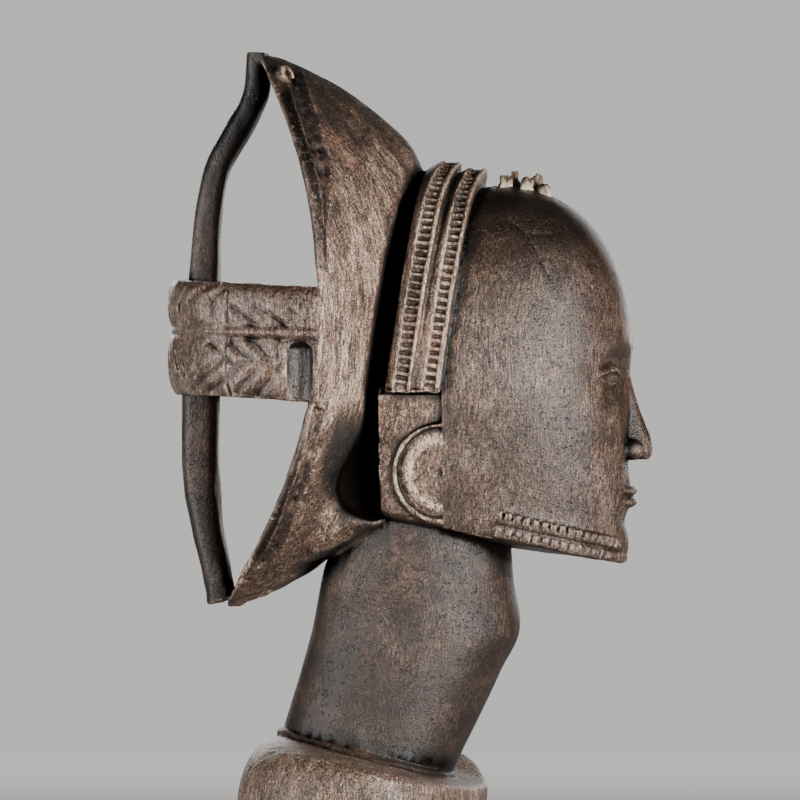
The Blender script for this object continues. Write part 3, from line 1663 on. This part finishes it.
@dataclass
class Carving:
    """The whole bust: its parts joined, worn and dressed."""

    head: Head = field(default_factory=Head)
    stand: Stand = field(default_factory=Stand)
    voxel: float = 0.6
    triangles: int = 190_000

    def parts(self) -> dict[Zone, Body]:
        """The closed bodies of every zone.

        Returns:
            A body for each zone.
        """
        head, stand = self.head, self.stand
        headdress = Headdress(head)
        diadem = Diadem(head)
        rear = diadem.bands[0][0]
        jaw = head.jaw_height(head.ear_back)
        ears = head.arch_plate(-head.ear_inset, jaw, head.crown, head.ear_back, 37.5)
        above = Body.slab([(-120, head.ear_top), (120, head.ear_top), (120, 420), (-120, 420)])
        return {
            Zone.FACE: Body.together([
                head.face_block(), head.jaw_keel(), head.nose(), head.eye().both_sides(), head.lips(),
                Beard(head).body(),
            ]),
            Zone.DIADEM: Body.together([
                diadem.body(), head.arch_plate(diadem.floor_rise, 244, diadem.floor_crown, rear + 0.3, 34.7)
            ]),
            Zone.EAR: Body.together([ears.less(above), head.ears()]),
            Zone.CRESCENT: head.crescents(),
            Zone.BONNET: headdress.bonnet(),
            Zone.STRAP: headdress.strap(),
            Zone.BRAID: headdress.braid(),
            Zone.NECK: Body.together([stand.neck(), stand.lip()]),
            Zone.TORSO: stand.torso(),
            Zone.CORE: headdress.waist(-12, 20),
        }

    def joined(self, parts: dict[Zone, Body]) -> Body:
        """One dense, closed surface round all parts.

        Args:
            parts: The bodies.

        Returns:
            The surface, with points about a voxel apart.
        """
        whole = Body.together(list(parts.values())).thing("whole")
        remesh = whole.modifiers.new("join", "REMESH")
        remesh.mode = "VOXEL"
        remesh.voxel_size = self.voxel * MM
        body = Body.of_mesh(evaluated_mesh(whole))
        discard(whole)
        return body

    @staticmethod
    def wear_round(skin: Skin) -> None:
        """Rounds the sides of the recess, the corners beside the ears and the bonnet's foot.

        Args:
            skin: The joined carving, which is changed.
        """
        x, y, z = skin.points.T
        recess = np.interp(z, [180, 193, 215, 246, 302, 343, 362], [-16, -18, -9, -2, 6.5, 15, 27])
        flank = smoothstep(np.abs(y), 42, 48) * smoothstep(7 - np.abs(x - recess), 0, 5)
        skin.round_off(0.7 * flank * smoothstep(z, 176, 182), 70)
        corner = smoothstep(np.abs(y), 38, 44) * smoothstep(10 - x, 0, 8) * smoothstep(x, -6, -2)
        skin.round_off(0.7 * corner * smoothstep(204 - z, 0, 12), 60)
        foot = smoothstep(np.abs(y), 16, 24) * smoothstep(x, -46, -38) * smoothstep(4 - x, 0, 6)
        skin.round_off(0.7 * foot * smoothstep(z, 146, 152) * smoothstep(204 - z, 0, 8), 80)

    @staticmethod
    def handling(skin: Skin) -> np.ndarray:
        """Height of the knife's facets, grain, chips, the shoulders' year rings and the strap's lumps.

        Args:
            skin: The joined carving.

        Returns:
            The height at each point.
        """
        place = skin.points
        x, y, z = place.T
        face = smoothstep(x, 60, 90) * smoothstep(z, 160, 175)
        knife = 0.38 * noise(place, (17, 17, 42), 3) + 0.2 * noise(place, (7, 7, 20), 4)
        grain = 0.08 * noise(place, (3.2, 3.2, 30), 6)
        edge = smoothstep(skin.standing_out(6), 0.05, 0.35)
        chips = -0.9 * edge * smoothstep(noise(place, (3.5, 3.5, 5), 7), 0.35, 0.8)
        shoulder = smoothstep(76 - z - 0.2 * x, 0, 6)
        turns = np.hypot(x - 5, y * 0.8) * 2 * np.pi / 3.4
        rings = 0.13 * np.sin(turns + 3 * noise(place, (22, 22, 22), 8)) * shoulder
        strap = smoothstep(-52 - x, 0, 6) * smoothstep(16 - np.abs(y), 0, 4)
        foot = 0.8 * smoothstep(154 - z, 0, 8)
        lumps = strap * (0.5 * noise(place, (6, 6, 15), 9) + foot * noise(place, (5, 5, 6), 10))
        return ((knife + grain) * (1 - 0.7 * face) + chips + rings + lumps) * smoothstep(z, 1, 8)

    @staticmethod
    def resin(skin: Skin) -> np.ndarray:
        """Height of the two mounds of resin that hold the stubs.

        Args:
            skin: The joined carving.

        Returns:
            The height at each point.
        """
        x, y, z = skin.points.T
        uneven = 1 + 0.2 * noise(skin.points, (4, 4, 4), 13)
        mounds = sum(swell(np.hypot(x - middle, 1.3 * y) / uneven, 7) for middle in (64, 77.5))
        return mounds * smoothstep(z, 335, 342) * (1.6 + 0.9 * noise(skin.points, (3, 3, 3), 14))

    def weather(self, skin: Skin) -> None:
        """Softens the edges and adds the marks of the knife and of use.

        Args:
            skin: The joined carving, which is changed.
        """
        skin.soften(2)
        self.wear_round(skin)
        handled = self.handling(skin)
        place = skin.points
        x, y, z = place.T
        sideways = smoothstep(np.abs(skin.normals()[:, 1]), 0.05, 0.3)
        on_bonnet = sideways * smoothstep(-18 - x, 0, 3)
        groove = skin.depth_of(CRUSTED_CUTS, on_bonnet) * (0.9 + 0.4 * noise(place, (3, 3, 5), 12))
        lip = skin.depth_of(RIM_LIPS, on_bonnet * smoothstep(0.6 - groove, 0, 0.6))
        braid = Headdress.braid_middle
        on_braid = smoothstep(np.abs(y), 38, 44) * smoothstep(-30 - x, 0, 2) * (np.abs(z - braid) < 30)
        beside_cord = smoothstep(np.abs(z - braid - 5.7 + 0.022 * (x + 99)), 1.8, 4.5)
        cuts = skin.depth_of(BRAID_CUTS, on_braid * sideways * beside_cord)
        cuts += skin.depth_of(OTHER_CUTS, sideways * (np.abs(y) > 20))
        cuts *= 1 + 0.35 * noise(place, (4, 4, 4), 11)
        skin.push(handled - cuts - groove + lip + self.resin(skin))
        skin.crust = smoothstep(groove, 0.15, 0.9) + 0.45 * smoothstep(cuts, 0.3, 1.1)
        skin.rubbed = smoothstep(lip, 0.15, 0.6) * (1 - smoothstep(groove, 0.1, 0.5))

    def run(self) -> tuple[bpy.types.Object, dict]:
        """Builds the piece.

        Returns:
            The object without its material, and the parts that it was joined from.
        """
        started = time.time()
        parts = self.parts()
        total = sum(len(part.triangles) for part in parts.values())
        LOG.info("parts: %d triangles, %.1f s", total, time.time() - started)
        skin = Skin(self.joined(parts))
        LOG.info("joined: %d points, %.1f s", len(skin.points), time.time() - started)
        self.weather(skin)
        fine, broad = skin.standing_out(3), skin.standing_out(28)
        LOG.info("weathered, %.1f s", time.time() - started)
        skin.keep_within(*(np.array(corner) / MM for corner in CAD_BOX))
        piece = Body(skin.points, skin.triangles).thing("carved_wood")
        looks = {"wear": fine, "relief": broad, "sooty": Soot().amount(skin), "rubbed": skin.rubbed}
        for name, values in looks.items():
            write_values(piece.data, name, values)
        thin = piece.modifiers.new("thin", "DECIMATE")
        thin.ratio = min(1.0, self.triangles / len(skin.triangles))
        mesh = evaluated_mesh(piece)
        piece.modifiers.clear()
        piece.data = mesh
        mesh.shade_smooth()
        LOG.info("thinned: %d triangles, %.1f s", len(mesh.polygons), time.time() - started)
        return piece, parts

    @staticmethod
    def shelter(piece: bpy.types.Object) -> None:
        """Writes how enclosed each point is, from 0 in the open to 1 in a deep recess.

        Args:
            piece: The thinned piece.
        """
        mesh = piece.data
        tree = BVHTree.FromObject(piece, bpy.context.evaluated_depsgraph_get())
        rays, reach = 14, 0.045
        turn = math.pi * (3 - math.sqrt(5)) * np.arange(rays)
        height = (np.arange(rays) + 0.5) / rays
        out = np.sqrt(1 - height)
        fan = np.stack([out * np.cos(turn), out * np.sin(turn), np.sqrt(height)], -1)
        hidden = np.zeros(len(mesh.vertices), np.float32)
        for k, vertex in enumerate(mesh.vertices):
            normal = vertex.normal
            side = normal.orthogonal().normalized()
            other = normal.cross(side)
            start = vertex.co + normal * 0.4 * MM
            for x, y, z in fan.tolist():
                hit = tree.ray_cast(start, side * x + other * y + normal * z, reach)[3]
                if hit is not None:
                    hidden[k] += 1 - hit / reach
        write_values(mesh, "shelter", hidden / rays)

    def zones(self, piece: bpy.types.Object, parts: dict[Zone, Body]) -> None:
        """Writes each point's paleness, darkness and polish, blended between the zones near it.

        Args:
            piece: The thinned piece.
            parts: The bodies that it was joined from.
        """
        mesh = piece.data
        points = coordinates(mesh).tolist()
        reach, blur = 6.0, 0.6
        nearness = []
        for body in parts.values():
            tree = BVHTree.FromPolygons(body.points.tolist(), body.triangles.tolist())
            near = [tree.find_nearest(point, reach)[3] for point in points]
            nearness.append([reach if distance is None else distance for distance in near])
        weights = np.exp(-np.array(nearness) / blur)
        weights /= weights.sum(0)
        looks = np.array([zone.value for zone in parts]).T @ weights
        for name, values in zip(("pale", "dark", "polish"), looks):
            write_values(mesh, name, values)


# Finishes


class Effects:
    """Shader node groups that the finishes share."""

    @staticmethod
    def group(name: str, inputs: dict, outputs: list) -> tuple[Wiring, object]:
        """Starts a group with float inputs, a Vector input and outputs.

        Args:
            name: Its name.
            inputs: Default values by input.
            outputs: Names of its outputs.

        Returns:
            Its wiring and its input sockets.
        """
        tree = bpy.data.node_groups.new(name, "ShaderNodeTree")
        wiring = Wiring(tree)
        wiring.socket("Vector", "Vector")
        for label, value in inputs.items():
            wiring.socket(label, "Float", value=value)
        for label in outputs:
            wiring.socket(label, "Float", "OUTPUT")
        return wiring, wiring.add("NodeGroupInput").outputs

    @classmethod
    def grain(cls) -> bpy.types.NodeTree:
        """Upright wood grain: broad streaks and fine fibres, which sweep round the bonnet.

        Returns:
            The group.
        """
        if "wood_grain" in bpy.data.node_groups:
            return bpy.data.node_groups["wood_grain"]
        wiring, given = cls.group(
            "wood_grain", {"Middle": 0.275, "Curve": 2.0, "Waviness": 0.6}, ["Streaks", "Fibres"]
        )
        axes = wiring.add("ShaderNodeSeparateXYZ", {0: given["Vector"]}).outputs
        up = wiring.math("SUBTRACT", axes[2], given["Middle"])
        sweep = wiring.math("MULTIPLY", wiring.math("MULTIPLY", up, up), given["Curve"])
        sweep = wiring.math("MULTIPLY", sweep, wiring.between(axes[0], 0.0, 0.03, 1.0, 0.0))
        sweep = wiring.math("MULTIPLY", sweep, wiring.between(axes[2], 0.13, 0.15))
        forward = wiring.math("ADD", axes[0], sweep)
        swept = wiring.add("ShaderNodeCombineXYZ", {0: forward, 1: axes[1], 2: axes[2]}).outputs[0]
        bend = wiring.add("ShaderNodeTexNoise", {"Vector": given["Vector"], "Scale": 32.0, "Detail": 1.0})
        amount = wiring.math("MULTIPLY", given["Waviness"], 0.01)
        wave = {0: bend.outputs["Color"], "Scale": amount}
        offset = wiring.add("ShaderNodeVectorMath", wave, operation="SCALE").outputs[0]
        bent = wiring.add("ShaderNodeVectorMath", {0: swept, 1: offset}, operation="ADD")
        outputs = {}
        for label, stretch, scale, detail, roughness in (
            ("Streaks", 0.12, 190.0, 3.0, 0.62), ("Fibres", 0.16, 1000.0, 3.0, 0.7)
        ):
            mapped = wiring.add("ShaderNodeMapping", {"Vector": bent.outputs[0], "Scale": (1, 1, stretch)})
            texture = wiring.add("ShaderNodeTexNoise", {
                "Vector": mapped.outputs[0], "Scale": scale, "Detail": detail, "Roughness": roughness
            })
            outputs[label] = texture.outputs[0]
        wiring.add("NodeGroupOutput", outputs)
        return wiring.tree

    @classmethod
    def speckle(cls) -> bpy.types.NodeTree:
        """Fine grit all over, with sparse dark pits and pale crumbs.

        Returns:
            The group.
        """
        if "speckle" in bpy.data.node_groups:
            return bpy.data.node_groups["speckle"]
        wiring, given = cls.group("speckle", {"Density": 0.0}, ["Grit", "Pits", "Crumbs"])
        grit = wiring.add("ShaderNodeTexNoise", {
            "Vector": given["Vector"], "Scale": 1300.0, "Detail": 2.0, "Roughness": 0.65
        }).outputs[0]
        spots = []
        for scale in (70.0, 640.0, 520.0):
            inputs = {"Vector": given["Vector"], "Scale": scale, "Detail": 2.0}
            spots.append(wiring.add("ShaderNodeTexNoise", inputs).outputs[0])
        clusters, small, large = spots[0], *(wiring.math("ADD", spot, given["Density"]) for spot in spots[1:])
        pits = wiring.between(wiring.math("MULTIPLY_ADD", clusters, -0.3, small), 0.46, 0.54)
        crumbs = wiring.between(wiring.math("MULTIPLY_ADD", clusters, 0.35, large), 0.8, 0.88)
        wiring.add("NodeGroupOutput", {"Grit": grit, "Pits": pits, "Crumbs": crumbs})
        return wiring.tree

    @classmethod
    def patches(cls) -> bpy.types.NodeTree:
        """Irregular patches of handling and stain, from large to small.

        Returns:
            The group.
        """
        if "patina_patches" in bpy.data.node_groups:
            return bpy.data.node_groups["patina_patches"]
        wiring, given = cls.group("patina_patches", {"Scale": 20.0, "Cover": 0.5, "Softness": 0.1}, ["Mask"])
        texture = wiring.add("ShaderNodeTexNoise", {
            "Vector": given["Vector"], "Scale": given["Scale"], "Detail": 6.0, "Roughness": 0.62,
            "Distortion": 0.3,
        })
        threshold = wiring.math("SUBTRACT", 1.0, given["Cover"])
        low = wiring.math("SUBTRACT", threshold, given["Softness"])
        high = wiring.math("ADD", threshold, given["Softness"])
        wiring.add("NodeGroupOutput", {"Mask": wiring.between(texture.outputs[0], low, high)})
        return wiring.tree

    @classmethod
    def edge_wear(cls) -> bpy.types.NodeTree:
        """Turns how far a place stands out into rubbed edges and dirty hollows, broken up by noise.

        Returns:
            The group.
        """
        if "edge_wear" in bpy.data.node_groups:
            return bpy.data.node_groups["edge_wear"]
        inputs = {"Relief": 0.0, "Reach": 0.2, "Breakup": 0.5}
        wiring, given = cls.group("edge_wear", inputs, ["Worn", "Dirty"])
        texture = wiring.add("ShaderNodeTexNoise", {
            "Vector": given["Vector"], "Scale": 260.0, "Detail": 4.0, "Roughness": 0.65
        })
        spread = wiring.math("MULTIPLY", wiring.math("SUBTRACT", texture.outputs[0], 0.5), given["Breakup"])
        share = wiring.math("ADD", wiring.math("DIVIDE", given["Relief"], given["Reach"]), spread)
        inward = wiring.math("MULTIPLY", given["Reach"], -1.0)
        hollow = wiring.math("ADD", wiring.math("DIVIDE", given["Relief"], inward), spread)
        wiring.add("NodeGroupOutput", {
            "Worn": wiring.between(share, 0.25, 1.1), "Dirty": wiring.between(hollow, 0.2, 1.3)
        })
        return wiring.tree


@dataclass(frozen=True)
class WoodFinish:
    """Dark, handled wood with pale dust, rubbed edges and dirt in its hollows."""

    name: str = "aged_wood"
    tones: tuple = (
        (0.0, (0.004, 0.0026, 0.0018, 1)),
        (0.2, (0.021, 0.0115, 0.0067, 1)),
        (0.4, (0.068, 0.038, 0.0235, 1)),
        (0.6, (0.16, 0.097, 0.063, 1)),
        (0.8, (0.32, 0.214, 0.149, 1)),
        (1.0, (0.6, 0.47, 0.36, 1)),
    )
    grey: tuple = (0.2, 0.18, 0.165, 1)
    red: tuple = (0.2, 0.088, 0.05, 1)

    def material(self) -> bpy.types.Material:
        """Builds the material.

        Returns:
            The material.
        """
        material, wiring, place = blank_material(self.name)

        def attribute(name: str) -> Socket:
            """Value of one of the piece's attributes."""
            return wiring.add("ShaderNodeAttribute", attribute_name=name).outputs["Fac"]

        def effect(tree: bpy.types.NodeTree, **inputs: object) -> bpy.types.Node:
            """One of the shared groups, placed on the piece."""
            return wiring.add("ShaderNodeGroup", {"Vector": place, **inputs}, node_tree=tree)

        grain = effect(Effects.grain())
        streaks, fibres = grain.outputs["Streaks"], grain.outputs["Fibres"]
        fine = effect(Effects.edge_wear(), Relief=attribute("wear"), Reach=0.16, Breakup=0.9).outputs
        broad = effect(Effects.edge_wear(), Relief=attribute("relief"), Reach=0.9, Breakup=0.8).outputs
        speckle = effect(Effects.speckle()).outputs
        grit = speckle["Grit"]
        stained = effect(Effects.patches(), Scale=13.0, Cover=0.5, Softness=0.2).outputs[0]
        mottled = effect(Effects.patches(), Scale=60.0, Cover=0.5, Softness=0.22).outputs[0]
        ruddy = effect(Effects.patches(), Scale=42.0, Cover=0.38, Softness=0.08).outputs[0]
        pale, dark, polish, rubbed = (attribute(name) for name in ("pale", "dark", "polish", "rubbed"))
        even = wiring.between(dark, -0.5, 0.0, 0.45, 1.0)
        base = wiring.total(
            0.22,
            (stained, 0.14),
            (mottled, 0.16),
            (pale, 0.3),
            (wiring.math("MULTIPLY", fine["Worn"], even), 0.3),
            (broad["Worn"], 0.1),
            (wiring.math("MULTIPLY", fine["Dirty"], even), -0.36),
            (wiring.math("MULTIPLY", broad["Dirty"], even), -0.2),
            (wiring.math("MULTIPLY", wiring.between(attribute("shelter"), 0.08, 0.55), even), -0.75),
            (dark, -0.27),
            (attribute("sooty"), -0.24),
            (rubbed, -0.36),
        )
        streaked = wiring.math(
            "MULTIPLY", wiring.math("SUBTRACT", streaks, 0.5), wiring.between(pale, 0.3, 0.8, 0.5, 1.5)
        )
        texture = wiring.total(-1.5, (streaked, 0.7), (fibres, 1.5), (grit, 1.5))
        contrast = wiring.math(
            "MULTIPLY", wiring.between(base, 0.1, 0.62, 0.3, 1.25), wiring.between(rubbed, 0.0, 1.0, 1.0, 0.6)
        )
        crumbs = wiring.math("MULTIPLY", speckle["Crumbs"], wiring.between(pale, 0.1, 1.2, 0.2, 1.0))
        tone = wiring.math("MULTIPLY_ADD", texture, contrast, base)
        tone = wiring.math("MULTIPLY_ADD", speckle["Pits"], -0.15, tone)
        tone = wiring.math("ADD", tone, wiring.math("MULTIPLY", crumbs, 0.32), clamp=True)
        colour = wiring.ramp(tone, self.tones)
        reddened = wiring.math("MULTIPLY", ruddy, wiring.between(tone, 0.15, 0.5, 0.0, 0.5))
        colour = wiring.blend(reddened, colour, self.red)
        hazy = wiring.math(
            "MULTIPLY", wiring.math("ADD", polish, rubbed), wiring.between(tone, 0.2, 0.6, 0.0, 0.4)
        )
        colour = wiring.blend(wiring.math("MULTIPLY", hazy, stained), colour, self.grey)
        rough = wiring.total(0.66, (polish, -0.36), (rubbed, -0.25), (fibres, 0.2), (grit, -0.15))
        rough = wiring.math("ADD", rough, wiring.math("MULTIPLY", crumbs, 0.3), clamp=True)
        height = wiring.total(0.0, (fibres, 0.6), (grit, 0.8), (speckle["Pits"], -0.7), (crumbs, 0.4))
        bump = wiring.add("ShaderNodeBump", {"Height": height, "Strength": 0.6, "Distance": 0.0007})
        shader = wiring.add("ShaderNodeBsdfPrincipled", {
            "Base Color": colour, "Roughness": rough, "Normal": bump.outputs[0],
            "Specular IOR Level": wiring.between(base, -0.25, 0.08, 0.02, 0.5),
        })
        wiring.add("ShaderNodeOutputMaterial", {"Surface": shader.outputs[0]})
        return material


@dataclass(frozen=True)
class StubFinish:
    """Mottled shell, horn or resin."""

    name: str
    light: tuple
    dark: tuple
    cover: float

    def material(self) -> bpy.types.Material:
        """Builds the material.

        Returns:
            The material.
        """
        material, wiring, place = blank_material(self.name)
        stain = wiring.add("ShaderNodeGroup", {
            "Vector": place, "Scale": 320.0, "Cover": self.cover, "Softness": 0.12
        }, node_tree=Effects.patches())
        pits = wiring.add("ShaderNodeTexNoise", {"Vector": place, "Scale": 1500.0, "Detail": 3.0})
        top = wiring.add("ShaderNodeAttribute", attribute_name="top").outputs["Fac"]
        dirt = wiring.between(top, 0.3, 0.95, 0.0, 0.9)
        cover = wiring.math("MULTIPLY_ADD", stain.outputs[0], 0.7, dirt, clamp=True)
        colour = wiring.blend(cover, self.light, self.dark)
        bump = wiring.add("ShaderNodeBump", {"Height": pits.outputs[0], "Strength": 0.4, "Distance": 0.0004})
        shader = wiring.add("ShaderNodeBsdfPrincipled", {"Base Color": colour, "Normal": bump.outputs[0]})
        shader.inputs["Roughness"].default_value = 0.48
        wiring.add("ShaderNodeOutputMaterial", {"Surface": shader.outputs[0]})
        return material


SHELL = StubFinish("old_shell", (0.6, 0.5, 0.38, 1), (0.07, 0.038, 0.02, 1), 0.42)
HORN = StubFinish("dark_horn", (0.05, 0.03, 0.02, 1), (0.16, 0.1, 0.065, 1), 0.4)


@dataclass
class CrownStub:
    """Small lump of shell or horn stuck in the crown."""

    number: int
    slot: str
    waist: float
    lumps: float

    def build(self, material: bpy.types.Material) -> bpy.types.Object:
        """Builds the lump inside the box of its CAD node.

        Args:
            material: Its finish.

        Returns:
            The piece.
        """
        node = f"crown_stub_{self.number}"
        low, high = (np.array(corner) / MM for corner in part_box(node))
        middle, half = (low + high) / 2, (high - low) / 2

        def ring(t: np.ndarray, angle: np.ndarray) -> tuple:
            """Places at shares t of the length and angles round it."""
            height = -np.cos(np.pi * (0.04 + 0.92 * t))
            round_ = (1 - height**2) ** 0.36 * (1 - self.waist * swell(height - 0.25, 0.3))
            sides = np.stack([np.cos(angle) * round_, np.sin(angle) * round_, height], -1)
            bumps = noise(sides.reshape(-1, 3) + self.number, (0.6, 0.6, 0.5), self.number)
            sides = np.clip(sides * (1 + self.lumps * bumps.reshape(*angle.shape, 1)), -1, 1) * half + middle
            return tuple(np.moveaxis(sides, -1, 0))

        piece = Body.loft(ring, 48, 40).thing(f"stub_{self.number}")
        heights = coordinates(piece.data)[:, 2]
        write_values(piece.data, "top", (heights - low[2]) / (high[2] - low[2]))
        piece.data.materials.append(material)
        piece.data.shade_smooth()
        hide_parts(node)
        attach(piece, "root")
        return piece


@dataclass
class Studio:
    """Pale floor that fades into an even background, soft light, and a camera at the photograph's angle."""

    distance: float = 6.0
    azimuth: float = 5.0
    view: float = 0.4
    target: tuple = (0.010, 0.0, 0.240)
    backdrop: tuple = (0.62, 0.62, 0.61, 1)
    daylight: float = 0.09
    lights: tuple = (
        ("key", (1.45, -1.6, 0.29), 0.6, 92),
        ("fill", (-1.75, -1.15, 0.29), 0.6, 46),
        ("back_left", (-0.6, 2.2, 0.7), 0.8, 14),
        ("back_right", (0.5, 2.2, 0.6), 0.8, 9),
    )

    def floor(self) -> None:
        """Pale floor under the bust."""
        half = 60
        corners = [(-half, -half, 0), (half, -half, 0), (half, half, 0), (-half, half, 0)]
        mesh = bpy.data.meshes.new("floor")
        mesh.from_pydata(corners, [], [(0, 1, 2, 3)])
        floor = bpy.data.objects.new("floor", mesh)
        bpy.context.scene.collection.objects.link(floor)
        material, wiring, place = blank_material("pale_floor")
        away = wiring.add("ShaderNodeVectorMath", {0: place}, operation="LENGTH").outputs["Value"]
        near = wiring.add("ShaderNodeBsdfDiffuse", {"Color": (0.6, 0.59, 0.575, 1)})
        far = wiring.add("ShaderNodeEmission", {"Color": self.backdrop})
        seen = wiring.add("ShaderNodeLightPath").outputs["Is Camera Ray"]
        share = wiring.math("MULTIPLY", wiring.between(away, 0.4, 2.5), seen)
        mixed = wiring.add("ShaderNodeMixShader", {0: share, 1: near.outputs[0], 2: far.outputs[0]})
        wiring.add("ShaderNodeOutputMaterial", {"Surface": mixed.outputs[0]})
        mesh.materials.append(material)

    def light(self, name: str, place: tuple, size: float, power: float) -> None:
        """Square soft light aimed at the bust.

        Args:
            name: Its name.
            place: Where it stands.
            size: Its width.
            power: Its power in watts.
        """
        lamp = bpy.data.lights.new(name, "AREA")
        lamp.size = size
        lamp.energy = power
        made = bpy.data.objects.new(name, lamp)
        made.location = place
        made.rotation_euler = (Vector(self.target) - Vector(place)).to_track_quat("-Z", "Y").to_euler()
        bpy.context.scene.collection.objects.link(made)

    def build(self) -> None:
        """Sets up everything round the bust."""
        self.floor()
        for name, place, size, power in self.lights:
            self.light(name, place, size, power)
        world = bpy.data.worlds.new("studio")
        world.use_nodes = True
        world.node_tree.nodes.clear()
        wiring = Wiring(world.node_tree)
        seen = wiring.add("ShaderNodeLightPath").outputs["Is Camera Ray"]
        strength = wiring.math("ADD", self.daylight, wiring.math("MULTIPLY", seen, 1 - self.daylight))
        light = wiring.add("ShaderNodeBackground", {"Color": self.backdrop, "Strength": strength})
        wiring.add("ShaderNodeOutputWorld", {"Surface": light.outputs[0]})
        bpy.context.scene.world = world
        camera = bpy.data.cameras.new("camera")
        camera.lens = camera.sensor_width * self.distance / self.view
        camera.clip_end = 100
        made = bpy.data.objects.new("camera", camera)
        turn = math.radians(self.azimuth)
        away = Vector((math.sin(turn), -math.cos(turn), 0)) * self.distance
        made.location = Vector(self.target) + away
        made.rotation_euler = (-away).to_track_quat("-Z", "Y").to_euler()
        bpy.context.scene.collection.objects.link(made)
        bpy.context.scene.camera = made


def main() -> None:
    """Builds every piece and the studio round it."""
    logging.basicConfig(level=logging.INFO, format="%(name)s: %(message)s")
    carving = Carving(voxel=0.6)
    piece, parts = carving.run()
    carving.zones(piece, parts)
    carving.shelter(piece)
    piece.data.materials.append(WoodFinish().material())
    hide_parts("carved_bust")
    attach(piece, "root")
    LOG.info("%s: %d triangles", piece.name, len(piece.data.polygons))
    shell, horn = ("pale_stub", SHELL.material()), ("dark_stub", HORN.material())
    plain, slim = (0.1, 0.3), (0.05, 0.35)
    stubs = ((shell, plain), (horn, plain), (shell, plain), (horn, slim), (shell, plain))
    for number, ((slot, material), shape) in enumerate(stubs, start=1):
        made = CrownStub(number, slot, *shape).build(material)
        LOG.info("%s: %d triangles", made.name, len(made.data.polygons))
    Studio().build()


if __name__ == "__main__":
    main()
